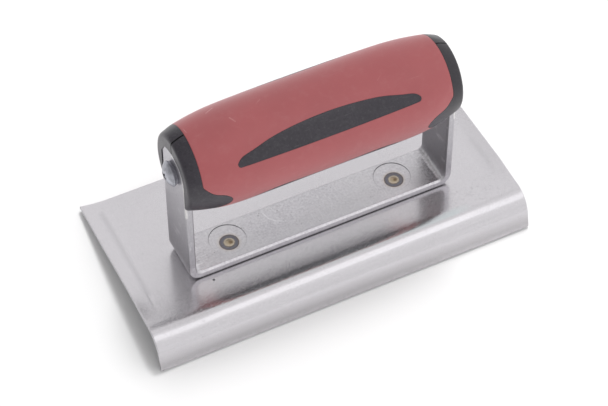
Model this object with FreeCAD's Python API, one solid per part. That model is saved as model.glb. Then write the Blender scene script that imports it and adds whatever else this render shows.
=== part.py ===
import FreeCAD, Part
import math
import os

os.makedirs("parts", exist_ok=True)

V = FreeCAD.Vector

# Concrete hand edger.  Millimetres, +X along the tool, +Y to the back, +Z up.
# z = 0 is the blade's flat working face (its underside); the origin is the
# middle of that face over the overall length and width.  The radius lip is at
# the front, on the -Y side.

# ---- driving dimensions --------------------------------------------------
BLADE_L = 152.4          # overall length, 6 in
BLADE_W = 73.0           # overall width, 2 7/8 in, lip edge to back edge
SHEET_T = 1.3            # stainless sheet
LIP_R = 9.6              # lip bend, outside radius (3/8 in edge in the slab)
LIP_ANGLE = 77.0         # degrees turned by the bend
LIP_DEPTH = 12.85        # lip edge below the working face, 1/2 in
END_LIFT = 1.45          # how far the two ends turn up at the tips
END_RUN = 12.0           # length of each turned-up end
LIP_LIFT = 0.42          # the same at the stiffer lip

BR_HALF = 54.0           # bracket: centre to the outside of each upright
BR_T = 3.0               # strip thickness
BR_W = 18.3              # strip width
BR_YC = -4.85            # centre line of the strip and handle across the blade
BR_R_OUT = 5.2           # outside bend radius
BR_TOP = 61.1            # top of the rounded uprights
BR_EDGE = 0.45           # rounding of the strip's lower long edges
BR_BEVEL = (0.80, 0.55)  # bevel of its upper long edges, across and down
WELD_X = 34.2            # spot welds, each side of the middle
WELD_R = 3.7             # weld nugget radius
WELD_Y = -5.4            # nugget centre; the electrodes hit a little off the centre line
COIN_Y = -3.9            # centre of the coined ring
WELD_COIN_R = 7.1        # coined ring around the weld
WELD_COIN_D = 0.18       # its depth
WELD_INTO_BLADE = 0.7    # nugget depth in the blade sheet

SCREW_Z = 52.0           # axis of the handle and its screws
SCREW_R = 2.5            # M5 shank
SCREW_HOLE_R = 2.75      # clearance hole in the uprights
SCREW_LEN = 16.0         # under the head
HEAD_R = 4.9
HEAD_H = 3.7
HEAD_RIM = 1.5           # height of the widest part of the head
HEAD_SEAT_R = 4.2        # radius where the head meets the upright

INSERT_R = 4.2           # threaded insert captured in the core
INSERT_LEN = 14.0
INSERT_BORE_R = 2.52
FLOOR_GAP = 0.05         # handle end against the inside of the upright

# handle: half-sections about the axis (y = BR_YC, z = SCREW_Z), symmetric in x
H_X = [0.0, 12.0, 24.0, 35.0, 42.0, 46.0, 49.5, 52.8, 54.3]
H_A = [17.66, 17.60, 17.42, 17.10, 16.50, 15.80, 15.00, 14.10, 13.60]    # half width
H_U = [19.20, 19.18, 19.05, 18.70, 17.95, 17.45, 16.90, 15.55, 14.80]    # up
H_D = [17.70, 17.88, 18.33, 18.52, 17.90, 17.05, 16.20, 15.10, 14.50]    # down
END_ROUND = 1.7          # rounding of the handle's end rims
GRIP_T = 2.6             # thickness of the moulded-on grip
CORE_WALL = 3.2          # wall of the core under the grip
CORE_RIB = 2.6           # ribs inside the core
CORE_CAVITY = 32.0       # the core is hollow to this |x|
SEAM = 0.36              # gap of the core's parting line
SLOT_CLEAR = 0.10        # the upright's recess in the handle end, all round

# ---- blade ---------------------------------------------------------------
th = math.radians(LIP_ANGLE)
y_front = -BLADE_W / 2.0
y_back = BLADE_W / 2.0
z_top = SHEET_T
lip_zs = LIP_R * (1 - math.cos(th))
lip_run = (LIP_DEPTH + SHEET_T - lip_zs) / math.sin(th)
y_bend = y_front + LIP_R * math.sin(th) + lip_run * math.cos(th)


def lift_at(x):
    q = (abs(x) - (BLADE_L / 2.0 - END_RUN)) / END_RUN
    return max(0.0, q) ** 2


def section(x):
    """Closed profile of the sheet at x; the flat part rises more than the lip."""
    k = lift_at(x)
    full = END_LIFT * k
    lip = LIP_LIFT * k

    def rise(y):
        # smooth change from the lip's rise to the flat part's rise
        t = min(1.0, max(0.0, (y - y_bend) / 16.0))
        return lip + (full - lip) * t * t * (3 - 2 * t)

    ys = [y_bend + 16.0 * i / 4.0 for i in range(5)]
    r_in = LIP_R - SHEET_T
    zc = SHEET_T - LIP_R + lip

    def arc_pt(r, a):
        return V(x, y_bend - r * math.sin(a), zc + r * math.cos(a))

    top = [V(x, y, z_top + rise(y)) for y in ys]
    bot = [V(x, y, rise(y)) for y in ys]
    back_t = V(x, y_back, z_top + full)
    back_b = V(x, y_back, full)
    d = V(0, -math.cos(th), -math.sin(th))
    o_end = arc_pt(LIP_R, th) + d * lip_run
    i_end = arc_pt(r_in, th) + d * lip_run
    edges = [Part.LineSegment(back_b, back_t).toShape(),
             Part.LineSegment(back_t, top[-1]).toShape()]
    c = Part.BSplineCurve()
    c.interpolate(Points=list(reversed(top)), InitialTangent=V(0, -1, 0), FinalTangent=V(0, -1, 0))
    edges.append(c.toShape())
    edges.append(Part.Arc(arc_pt(LIP_R, 0), arc_pt(LIP_R, th / 2), arc_pt(LIP_R, th)).toShape())
    edges.append(Part.LineSegment(arc_pt(LIP_R, th), o_end).toShape())
    edges.append(Part.LineSegment(o_end, i_end).toShape())
    edges.append(Part.LineSegment(i_end, arc_pt(r_in, th)).toShape())
    edges.append(Part.Arc(arc_pt(r_in, th), arc_pt(r_in, th / 2), arc_pt(r_in, 0)).toShape())
    c = Part.BSplineCurve()
    c.interpolate(Points=bot, InitialTangent=V(0, 1, 0), FinalTangent=V(0, 1, 0))
    edges.append(c.toShape())
    edges.append(Part.LineSegment(bot[-1], back_b).toShape())
    return Part.Wire(edges)


x_flat = BLADE_L / 2.0 - END_RUN
middle = Part.Face(section(-x_flat)).extrude(V(2 * x_flat, 0, 0))
stations = [0.0, 0.25, 0.5, 0.75, 1.0]
right_end = Part.makeLoft([section(x_flat + END_RUN * s) for s in stations], True, False)
left_end = Part.makeLoft([section(-x_flat - END_RUN * s) for s in stations], True, False)
blade = middle.fuse([right_end, left_end]).removeSplitter()

# ---- bracket -------------------------------------------------------------
y0 = BR_YC - BR_W / 2.0
y1 = BR_YC + BR_W / 2.0
zb = z_top                       # the strip lies on the blade


def strip_profile(x):
    """Cross-section of the strip at x: bevelled edges above, rounded ones below."""
    r, za, zt = BR_EDGE, zb, zb + BR_T
    q = r * (1 - math.sqrt(0.5))
    e, f = BR_BEVEL
    return Part.Face(Part.Wire([
        Part.LineSegment(V(x, y0 + r, za), V(x, y1 - r, za)).toShape(),
        Part.Arc(V(x, y1 - r, za), V(x, y1 - q, za + q), V(x, y1, za + r)).toShape(),
        Part.LineSegment(V(x, y1, za + r), V(x, y1, zt - f)).toShape(),
        Part.LineSegment(V(x, y1, zt - f), V(x, y1 - e, zt)).toShape(),
        Part.LineSegment(V(x, y1 - e, zt), V(x, y0 + e, zt)).toShape(),
        Part.LineSegment(V(x, y0 + e, zt), V(x, y0, zt - f)).toShape(),
        Part.LineSegment(V(x, y0, zt - f), V(x, y0, za + r)).toShape(),
        Part.Arc(V(x, y0, za + r), V(x, y0 + q, za + q), V(x, y0 + r, za)).toShape()]))


x_bend = BR_HALF - BR_R_OUT
strip = [strip_profile(-x_bend).extrude(V(2 * x_bend, 0, 0))]
for sx in (-1, 1):
    face = strip_profile(sx * x_bend)
    centre = V(sx * x_bend, 0, zb + BR_R_OUT)
    strip.append(face.revolve(centre, V(0, -sx, 0), 90))
    face.rotate(centre, V(0, -sx, 0), 90)
    strip.append(face.extrude(V(0, 0, 75.0 - (zb + BR_R_OUT))))
u_solid = strip[0].fuse(strip[1:]).removeSplitter()


def ear_outline(clear=0.0, floor=-5.0):
    """Side view of the uprights: straight sides, evenly rounded top."""
    w = BR_W / 2.0 + clear
    shoulder = 52.0
    top = BR_TOP + clear
    pts = [V(0, -w, shoulder), V(0, -w * 0.93, shoulder + 3.9 + clear * 0.4), V(0, -w * 0.72, shoulder + 6.9 + clear * 0.7),
           V(0, -w * 0.38, top - 0.55), V(0, 0, top), V(0, w * 0.38, top - 0.55),
           V(0, w * 0.72, shoulder + 6.9 + clear * 0.7), V(0, w * 0.93, shoulder + 3.9 + clear * 0.4), V(0, w, shoulder)]
    c = Part.BSplineCurve()
    c.interpolate(Points=[p + V(0, BR_YC, 0) for p in pts], InitialTangent=V(0, 0, 1), FinalTangent=V(0, 0, -1))
    return Part.Wire([c.toShape(),
                      Part.LineSegment(V(0, BR_YC + w, shoulder), V(0, BR_YC + w, floor)).toShape(),
                      Part.LineSegment(V(0, BR_YC + w, floor), V(0, BR_YC - w, floor)).toShape(),
                      Part.LineSegment(V(0, BR_YC - w, floor), V(0, BR_YC - w, shoulder)).toShape()])


ear_prism = Part.Face(ear_outline()).extrude(V(160, 0, 0))
ear_prism.translate(V(-80, 0, 0))
bracket = u_solid.common(ear_prism)
for sx in (-1, 1):
    bracket = bracket.cut(Part.makeCylinder(SCREW_HOLE_R, 10.0, V(sx * (BR_HALF + 2) - (10.0 if sx > 0 else 0), BR_YC, SCREW_Z), V(1, 0, 0)))
    coin = Part.makeCylinder(WELD_COIN_R, 1.0, V(sx * WELD_X, COIN_Y, zb + BR_T - WELD_COIN_D), V(0, 0, 1))
    bracket = bracket.cut(coin)
    bracket = bracket.cut(Part.makeCylinder(WELD_R, BR_T + 2, V(sx * WELD_X, WELD_Y, zb - 1.0), V(0, 0, 1)))
    blade = blade.cut(Part.makeCylinder(WELD_R, WELD_INTO_BLADE + 1.0, V(sx * WELD_X, WELD_Y, zb - WELD_INTO_BLADE), V(0, 0, 1)))


def weld(sx):
    """Fused nugget through the strip into the sheet, dimpled by the electrode."""
    z_hi = zb + BR_T - WELD_COIN_D
    body = Part.makeCylinder(WELD_R, z_hi - (zb - WELD_INTO_BLADE), V(sx * WELD_X, WELD_Y, zb - WELD_INTO_BLADE), V(0, 0, 1))
    ball_r = 9.0
    body = body.cut(Part.makeSphere(ball_r, V(sx * WELD_X, WELD_Y, z_hi + ball_r - 0.22)))
    return body


# ---- handle --------------------------------------------------------------
def handle_section(x, a, up, down, shrink=0.0, n=28):
    a, up, down = a - shrink, up - shrink, down - shrink
    pts = []
    for i in range(n):
        t = 2 * math.pi * i / n - math.pi / 2
        b = up if math.sin(t) >= 0 else down
        pts.append(V(x, BR_YC + a * math.cos(t), SCREW_Z + b * math.sin(t)))
    c = Part.BSplineCurve()
    c.interpolate(Points=pts, PeriodicFlag=True)
    return Part.Wire([c.toShape()])


def handle_solid(shrink=0.0, x_max=None):
    rows = [(x, a, u, d) for x, a, u, d in zip(H_X, H_A, H_U, H_D) if x_max is None or x <= x_max]
    full = [(-x, a, u, d) for x, a, u, d in reversed(rows[1:])] + rows
    return Part.makeLoft([handle_section(x, a, u, d, shrink) for x, a, u, d in full], True, False)


hull = handle_solid()
rims = [e for e in hull.Edges if abs(abs(e.BoundBox.XMin) - H_X[-1]) < 1e-3 and abs(e.BoundBox.XMin - e.BoundBox.XMax) < 1e-3]
try:
    r = hull.makeFillet(END_ROUND, rims)
    if r.isValid() and r.Volume > 0.9 * hull.Volume:
        hull = r
        print("handle rims rounded:", len(rims))
except Exception as err:
    print("handle rims left square:", err)


def xz_prism(pts, ya, yb, closed_spline=False):
    """Prism along Y over a closed XZ outline given as points."""
    if closed_spline:
        c = Part.BSplineCurve()
        c.interpolate(Points=[V(p[0], ya, p[1]) for p in pts], PeriodicFlag=True)
        w = Part.Wire([c.toShape()])
    else:
        v = [V(p[0], ya, p[1]) for p in pts]
        w = Part.makePolygon(v + [v[0]])
    return Part.Face(w).extrude(V(0, yb - ya, 0))


# black end band with its toe, in side view (right-hand end)
toe = [(49.2, 56.6), (48.3, 54.8), (46.6, 52.9), (44.2, 51.3), (42.0, 50.4), (40.2, 49.0),
       (38.9, 46.9), (39.1, 44.6), (40.9, 42.7), (43.6, 40.6), (46.4, 38.0), (48.4, 35.7), (49.1, 33.8), (49.2, 32.0)]


def band(sx):
    c = Part.BSplineCurve()
    c.interpolate(Points=[V(sx * x, -60, z) for x, z in toe], InitialTangent=V(0, 0, -1), FinalTangent=V(0, 0, -1))
    hi, lo = toe[0], toe[-1]
    far = 70.0
    w = Part.Wire([c.toShape(),
                   Part.LineSegment(V(sx * lo[0], -60, lo[1]), V(sx * lo[0], -60, 20)).toShape(),
                   Part.LineSegment(V(sx * lo[0], -60, 20), V(sx * far, -60, 20)).toShape(),
                   Part.LineSegment(V(sx * far, -60, 20), V(sx * far, -60, 85)).toShape(),
                   Part.LineSegment(V(sx * far, -60, 85), V(sx * hi[0], -60, 85)).toShape(),
                   Part.LineSegment(V(sx * hi[0], -60, 85), V(sx * hi[0], -60, hi[1])).toShape()])
    return Part.Face(w).extrude(V(0, 120, 0))


# lens-shaped pad on each side of the grip
pad_up = [(-35.7, 61.6), (-34.6, 62.7), (-30.0, 64.15), (-24.0, 65.45), (-15.0, 66.6), (0.0, 67.2),
          (15.0, 66.6), (24.0, 65.45), (30.0, 64.15), (34.6, 62.7), (35.7, 61.6)]


def pad(ya, yb):
    c = Part.BSplineCurve()
    c.interpolate(Points=[V(x, ya, z) for x, z in pad_up])
    lo = 60.2
    w = Part.Wire([c.toShape(),
                   Part.Arc(V(35.7, ya, 61.6), V(35.65, ya, 60.75), V(34.8, ya, lo)).toShape(),
                   Part.LineSegment(V(34.8, ya, lo), V(-34.8, ya, lo)).toShape(),
                   Part.Arc(V(-34.8, ya, lo), V(-35.65, ya, 60.75), V(-35.7, ya, 61.6)).toShape()])
    return Part.Face(w).extrude(V(0, yb - ya, 0))


# matching pad along the underside
belly_quarter = [(38.2, 6.0), (35.6, 11.4), (30.5, 13.8), (22.0, 15.3), (10.0, 15.15)]


def belly():
    right = [(38.6, 0.0)] + belly_quarter
    loop = right + [(0.0, 14.7)] + [(-x, y) for x, y in reversed(right)]
    loop += [(x, -y) for x, y in reversed(loop[1:-1])]
    c = Part.BSplineCurve()
    c.interpolate(Points=[V(x, BR_YC + y, 20.0) for x, y in loop], PeriodicFlag=True)
    return Part.Face(Part.Wire([c.toShape()])).extrude(V(0, 0, 29.0))


inner_solid = handle_solid(GRIP_T)
shape_mask = inner_solid.fuse([band(1), band(-1), pad(BR_YC - 30, BR_YC - 6), pad(BR_YC + 6, BR_YC + 30), belly()])
core = hull.common(shape_mask)
grip = hull.cut(shape_mask)

# core: recess for the rounded top of each upright, open below and at the end
for sx in (-1, 1):
    f = Part.Face(ear_outline(SLOT_CLEAR, 20.0))
    slot = f.extrude(V(sx * 20.0, 0, 0))
    slot.translate(V(sx * (BR_HALF - BR_T - FLOOR_GAP), 0, 0))
    core = core.cut(slot)
    # pocket for the insert and room past the screw's tip
    x_in = sx * (BR_HALF - BR_T - FLOOR_GAP)
    core = core.cut(Part.makeCylinder(INSERT_R, INSERT_LEN, V(x_in, BR_YC, SCREW_Z), V(-sx, 0, 0)))
# hollow, with ribs
cav = handle_solid(GRIP_T + CORE_WALL)
rooms = []
n_rooms = 4
room = (2 * CORE_CAVITY - (n_rooms - 1) * CORE_RIB) / n_rooms
for i in range(n_rooms):
    xa = -CORE_CAVITY + i * (room + CORE_RIB)
    rooms.append(cav.common(Part.makeBox(room, 80, 80, V(xa, BR_YC - 40, SCREW_Z - 40))))
for rm in rooms:
    core = core.cut(rm)

big = 200.0
front_box = Part.makeBox(big, big, big, V(-big / 2, BR_YC - SEAM / 2 - big, -big / 2))
rear_box = Part.makeBox(big, big, big, V(-big / 2, BR_YC + SEAM / 2, -big / 2))
core_front = core.common(front_box)
core_rear = core.common(rear_box)


# ---- fasteners -----------------------------------------------------------
def screw(sx):
    """Pan-head cross-recess machine screw, head outside the upright."""
    x0 = sx * BR_HALF
    tip = 0.8
    h = HEAD_H - HEAD_RIM
    R = (HEAD_R ** 2 + h ** 2) / (2 * h)
    half = 0.5 * math.asin(HEAD_R / R)
    mid = V(x0 + sx * (HEAD_H - R + R * math.cos(half)), BR_YC, SCREW_Z + R * math.sin(half))
    p = [V(x0 - sx * SCREW_LEN, BR_YC, SCREW_Z),
         V(x0 - sx * SCREW_LEN, BR_YC, SCREW_Z + SCREW_R - tip),
         V(x0 - sx * (SCREW_LEN - tip), BR_YC, SCREW_Z + SCREW_R),
         V(x0, BR_YC, SCREW_Z + SCREW_R),
         V(x0, BR_YC, SCREW_Z + HEAD_SEAT_R),
         V(x0 + sx * HEAD_RIM, BR_YC, SCREW_Z + HEAD_R),
         V(x0 + sx * HEAD_H, BR_YC, SCREW_Z)]
    e = [Part.LineSegment(p[i], p[i + 1]).toShape() for i in range(5)]
    e.append(Part.Arc(p[5], mid, p[6]).toShape())
    e.append(Part.LineSegment(p[6], p[0]).toShape())
    s = Part.Face(Part.Wire(e)).revolve(V(0, BR_YC, SCREW_Z), V(1, 0, 0), 360)
    if s.Volume < 0:
        s.reverse()
    # cross recess, 1.5 deep
    for turn in (20.0, 110.0):
        w = Part.makeBox(3.0, 3.0, 0.8)
        w.translate(V(-1.5, -1.5, -0.4))
        w.rotate(V(0, 0, 0), V(1, 0, 0), turn)
        w.translate(V(x0 + sx * HEAD_H, BR_YC, SCREW_Z))
        s = s.cut(w)
    return s


def insert(sx):
    """Brass threaded insert with a retaining groove, open at both ends."""
    x_in = sx * (BR_HALF - BR_T - FLOOR_GAP)
    ax = V(-sx, 0, 0)
    b = Part.makeCylinder(INSERT_R, INSERT_LEN, V(x_in, BR_YC, SCREW_Z), ax)
    b = b.cut(Part.makeCylinder(INSERT_BORE_R, INSERT_LEN + 2, V(x_in + sx, BR_YC, SCREW_Z), ax))
    ring = Part.makeCylinder(INSERT_R + 1, 2.0, V(x_in - sx * 6.0, BR_YC, SCREW_Z), ax).cut(
        Part.makeCylinder(INSERT_R - 0.6, 2.0, V(x_in - sx * 6.0, BR_YC, SCREW_Z), ax))
    return b.cut(ring)


nodes = {
    "blade": blade,
    "handle_bracket": bracket,
    "spot_weld_left": weld(-1),
    "spot_weld_right": weld(1),
    "core_front": core_front,
    "core_rear": core_rear,
    "grip_cover": grip,
    "screw_left": screw(-1),
    "screw_right": screw(1),
    "insert_left": insert(-1),
    "insert_right": insert(1),
}

for name, shape in nodes.items():
    solids = shape.Solids
    shape = solids[0] if len(solids) == 1 else Part.makeCompound(solids)
    bb = shape.BoundBox
    print("%-16s solids %d valid %s vol %.1f mm3  x %.2f..%.2f y %.2f..%.2f z %.2f..%.2f" % (
        name, len(solids), shape.isValid(), shape.Volume, bb.XMin, bb.XMax, bb.YMin, bb.YMax, bb.ZMin, bb.ZMax))
    shape.exportStep("parts/%s.step" % name)
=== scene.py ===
import bpy, bmesh, math, random
from mathutils import Vector, Matrix, noise


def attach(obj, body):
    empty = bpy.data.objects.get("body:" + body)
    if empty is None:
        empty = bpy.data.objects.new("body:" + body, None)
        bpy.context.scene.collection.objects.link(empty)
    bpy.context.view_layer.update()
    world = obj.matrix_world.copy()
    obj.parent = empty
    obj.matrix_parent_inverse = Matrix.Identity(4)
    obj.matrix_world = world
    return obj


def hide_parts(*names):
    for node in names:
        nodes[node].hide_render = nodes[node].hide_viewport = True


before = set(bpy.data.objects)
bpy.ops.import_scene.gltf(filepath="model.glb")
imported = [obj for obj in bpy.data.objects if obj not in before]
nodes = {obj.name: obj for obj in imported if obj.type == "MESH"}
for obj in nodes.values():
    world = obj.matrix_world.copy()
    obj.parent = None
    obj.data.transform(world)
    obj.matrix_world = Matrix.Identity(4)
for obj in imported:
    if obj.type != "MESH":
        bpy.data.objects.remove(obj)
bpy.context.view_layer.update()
random.seed(7)
MM = 0.001
scene = bpy.context.scene
coll = scene.collection

# ------------------------------------------------------------------ camera
AZ, EL, ROLL = math.radians(26.551), math.radians(49.052), math.radians(-0.098)
back = Vector((-math.sin(AZ) * math.cos(EL), -math.cos(AZ) * math.cos(EL), math.sin(EL)))
right = Vector((math.cos(AZ), -math.sin(AZ), 0.0))
up = back.cross(right)
cr, sr = math.cos(ROLL), math.sin(ROLL)
r2 = right * cr + up * sr
u2 = up * cr - right * sr
cam_data = bpy.data.cameras.new("camera")
cam = bpy.data.objects.new("camera", cam_data)
coll.objects.link(cam)
m = Matrix((r2, u2, back)).transposed().to_4x4()
m.translation = Vector((-0.239556, -0.477807, 0.618830))
cam.matrix_world = m
cam_data.sensor_width = 36.0
cam_data.lens = 2184.64 / 608.0 * 36.0
cam_data.clip_start = 0.01
cam_data.clip_end = 50.0
scene.camera = cam


# --------------------------------------------------------------- materials
class Mat:
    """Small helper round a node tree."""

    def __init__(self, name):
        self.m = bpy.data.materials.new(name)
        self.m.use_nodes = True
        self.t = self.m.node_tree
        self.b = self.t.nodes["Principled BSDF"]
        self.co = self.t.nodes.new("ShaderNodeTexCoord").outputs["Object"]

    def n(self, kind, **kw):
        x = self.t.nodes.new(kind)
        for k, v in kw.items():
            if k.startswith("i_"):
                x.inputs[int(k[2:])].default_value = v
            else:
                setattr(x, k, v)
        return x

    def link(self, a, b):
        self.t.links.new(a, b)

    def mapping(self, scale=(1, 1, 1), loc=(0, 0, 0), rot=(0, 0, 0), src=None):
        x = self.n("ShaderNodeMapping")
        x.inputs["Scale"].default_value = scale
        x.inputs["Location"].default_value = loc
        x.inputs["Rotation"].default_value = rot
        self.link(src or self.co, x.inputs["Vector"])
        return x.outputs[0]

    def noise(self, vec, scale, detail=3.0, rough=0.5, dist=0.0):
        x = self.n("ShaderNodeTexNoise")
        x.inputs["Scale"].default_value = scale
        x.inputs["Detail"].default_value = detail
        x.inputs["Roughness"].default_value = rough
        x.inputs["Distortion"].default_value = dist
        self.link(vec, x.inputs["Vector"])
        return x.outputs["Fac"]

    def remap(self, src, a, b, c, d, clamp=True):
        x = self.n("ShaderNodeMapRange")
        x.clamp = clamp
        x.inputs["From Min"].default_value = a
        x.inputs["From Max"].default_value = b
        x.inputs["To Min"].default_value = c
        x.inputs["To Max"].default_value = d
        self.link(src, x.inputs["Value"])
        return x.outputs["Result"]

    def math(self, op, a, b=None, clamp=False):
        x = self.n("ShaderNodeMath", operation=op, use_clamp=clamp)
        for i, v in enumerate((a, b)):
            if v is None:
                continue
            if isinstance(v, (int, float)):
                x.inputs[i].default_value = v
            else:
                self.link(v, x.inputs[i])
        return x.outputs[0]

    def mix(self, fac, a, b, blend="MIX"):
        x = self.n("ShaderNodeMix", data_type="RGBA", blend_type=blend)
        if isinstance(fac, (int, float)):
            x.inputs[0].default_value = fac
        else:
            self.link(fac, x.inputs[0])
        for i, v in ((6, a), (7, b)):
            if isinstance(v, tuple):
                x.inputs[i].default_value = (*v[:3], 1.0)
            else:
                self.link(v, x.inputs[i])
        return x.outputs[2]

    def ramp(self, src, stops):
        x = self.n("ShaderNodeValToRGB")
        e = x.color_ramp.elements
        while len(e) < len(stops):
            e.new(0.5)
        for el, (p, c) in zip(e, stops):
            el.position = p
            el.color = (*c, 1.0)
        self.link(src, x.inputs[0])
        return x.outputs[0]

    def bump(self, height, strength, dist, normal=None):
        x = self.n("ShaderNodeBump")
        x.inputs["Strength"].default_value = strength
        x.inputs["Distance"].default_value = dist
        self.link(height, x.inputs["Height"])
        if normal is not None:
            self.link(normal, x.inputs["Normal"])
        return x.outputs[0]

    def out(self, **kw):
        for k, v in kw.items():
            s = self.b.inputs[k.replace("_", " ")]
            if isinstance(v, (int, float, tuple)):
                s.default_value = (*v, 1.0) if isinstance(v, tuple) and len(v) == 3 and s.type == "RGBA" else v
            else:
                self.link(v, s)
        return self.m


# ------------------------------------------------------------ mesh helpers
import numpy as np

T_SHEET = 1.3
Y_C, Z_C = -4.85, 52.0


def make(name, verts, faces, smooth=True, merge=None):
    """Object from millimetre vertices."""
    me = bpy.data.meshes.new(name)
    me.from_pydata([tuple(float(c) * MM for c in v) for v in verts], [], [tuple(int(i) for i in f) for f in faces])
    bm = bmesh.new()
    bm.from_mesh(me)
    if merge:
        bmesh.ops.remove_doubles(bm, verts=bm.verts, dist=merge * MM)
    bmesh.ops.recalc_face_normals(bm, faces=bm.faces)
    for f in bm.faces:
        f.smooth = smooth
    bm.to_mesh(me)
    bm.free()
    me.update()
    ob = bpy.data.objects.new(name, me)
    coll.objects.link(ob)
    return ob


def natural(xs, ys):
    """Natural cubic spline through the points."""
    xs, ys = np.array(xs, float), np.array(ys, float)
    n = len(xs)
    h = np.diff(xs)
    A = np.zeros((n, n))
    r = np.zeros(n)
    A[0, 0] = A[-1, -1] = 1
    for i in range(1, n - 1):
        A[i, i - 1], A[i, i], A[i, i + 1] = h[i - 1], 2 * (h[i - 1] + h[i]), h[i]
        r[i] = 6 * ((ys[i + 1] - ys[i]) / h[i] - (ys[i] - ys[i - 1]) / h[i - 1])
    m = np.linalg.solve(A, r)

    def f(x):
        x = np.asarray(x, float)
        i = np.clip(np.searchsorted(xs, x) - 1, 0, n - 2)
        d = h[i]
        p, q = (xs[i + 1] - x) / d, (x - xs[i]) / d
        return p * ys[i] + q * ys[i + 1] + ((p ** 3 - p) * m[i] + (q ** 3 - q) * m[i + 1]) * d * d / 6
    return f


def smooth01(t):
    t = min(1.0, max(0.0, t))
    return t * t * (3 - 2 * t)


# ------------------------------------------------------------------- blade
L_HALF, Y_FRONT, Y_BACK = 76.2, -36.5, 36.5
R_LIP, TH = 9.6, math.radians(77.0)
END_RUN, END_LIFT, LIP_LIFT = 12.0, 1.45, 0.42
Z_DROP = R_LIP * (1 - math.cos(TH))
LIP_RUN = (12.85 + T_SHEET - Z_DROP) / math.sin(TH)
Y_BEND = Y_FRONT + R_LIP * math.sin(TH) + LIP_RUN * math.cos(TH)
ROUND = 0.34


def mid_line():
    """(y, z, ny, nz) down the middle of the sheet from the back edge to the lip edge, flat at lift 0."""
    out = []
    zc = T_SHEET / 2
    n1 = 66
    for i in range(n1):
        y = Y_BACK - (Y_BACK - Y_BEND) * i / n1
        out.append((y, zc, 0.0, 1.0))
    rm = R_LIP - T_SHEET / 2
    n2 = 30
    for i in range(n2 + 1):
        a = TH * i / n2
        out.append((Y_BEND - rm * math.sin(a), T_SHEET - R_LIP + rm * math.cos(a), -math.sin(a), math.cos(a)))
    y, z = out[-1][0], out[-1][1]
    for i in range(1, 9):
        k = LIP_RUN * i / 8
        out.append((y - k * math.cos(TH), z - k * math.sin(TH), -math.sin(TH), math.cos(TH)))
    return out


MID = mid_line()


def press(x, y):
    """Soft crease beside each turned-up end."""
    x0 = -70.0 if x < 0 else 70.9
    g = math.exp(-((x - x0) / (0.62 if x < 0 else 1.15)) ** 2)
    fade = smooth01((32.8 - y) / 3.0) * smooth01((y + 23.0) / 13.0)
    if x > 0:
        fade *= 0.25 + 0.75 * smooth01((9.0 - y) / 14.0)
    return 0.11 * g * fade


def rise(x, y):
    k = max(0.0, (abs(x) - (L_HALF - END_RUN)) / END_RUN) ** 2
    t = smooth01((y - Y_BEND) / 16.0)
    return LIP_LIFT * k + (END_LIFT - LIP_LIFT) * k * t


def ripple(x, y):
    """Slight unevenness of the rolled sheet."""
    v = noise.noise(Vector((x * 0.035, y * 0.05, 3.1)))
    w = noise.noise(Vector((x * 0.11, y * 0.09, 9.4)))
    return 0.018 * v + 0.004 * w


def swell(x, s):
    """Height (mm) of the shallow swelling that rolling the lip left; s is the distance past the start of the bend."""
    v = 0.13 * (smooth01((s + 8.5) / 12.1) - smooth01((s - 3.6) / 15.2))
    v += 0.045 * (smooth01((s - 0.8) / 2.8) - smooth01((s - 3.6) / 5.4))
    return v * smooth01((62.0 - abs(x)) / 14.0)


def arc_of(i):
    y = MID[i][0]
    if y >= Y_BEND:
        return Y_BEND - y
    a = math.atan2(-MID[i][2], MID[i][3])
    if i <= 96:
        return (R_LIP - T_SHEET / 2) * a
    return (R_LIP - T_SHEET / 2) * TH + LIP_RUN * (i - 96) / 8


ARC = [arc_of(i) for i in range(len(MID))]


def blade_ring(x, inset):
    h = T_SHEET / 2 - inset
    r = max(0.02, ROUND - inset)
    top, bot = [], []
    n = len(MID)
    # in-plane inset of the two long edges
    for side in (1, -1):
        row = []
        for i, (y, z, ny, nz) in enumerate(MID):
            if i == 0 or i == n - 1:
                continue
            w = side * h + swell(x, ARC[i])
            row.append((y + ny * w, z + nz * w))
        (top if side > 0 else bot).extend(row)

    def cap(i, direction):
        y, z, ny, nz = MID[i]
        ty, tz = (direction * nz, -direction * ny)      # outward along the sheet
        y -= ty * inset
        z -= tz * inset
        pts = []
        for k in range(5):
            a = math.radians(90 - 22.5 * k)
            pts.append((y - ty * r + ty * r * math.cos(a) + ny * (h - r + r * math.sin(a)),
                        z - tz * r + tz * r * math.cos(a) + nz * (h - r + r * math.sin(a))))
        for k in range(5):
            a = math.radians(-22.5 * k)
            pts.append((y - ty * r + ty * r * math.cos(a) + ny * (-h + r + r * math.sin(a)),
                        z - tz * r + tz * r * math.cos(a) + nz * (-h + r + r * math.sin(a))))
        return pts

    back = cap(0, 1.0)                  # top to bottom round the back edge
    lip = cap(n - 1, -1.0)
    ring = top + lip + bot[::-1] + back[::-1]
    out = []
    for y, z in ring:
        zz = z + rise(x, y) + ripple(x, y)
        if z > -0.2 and y > Y_BEND:
            zz -= press(x, y)
        out.append((x, y, zz))
    return out


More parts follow.
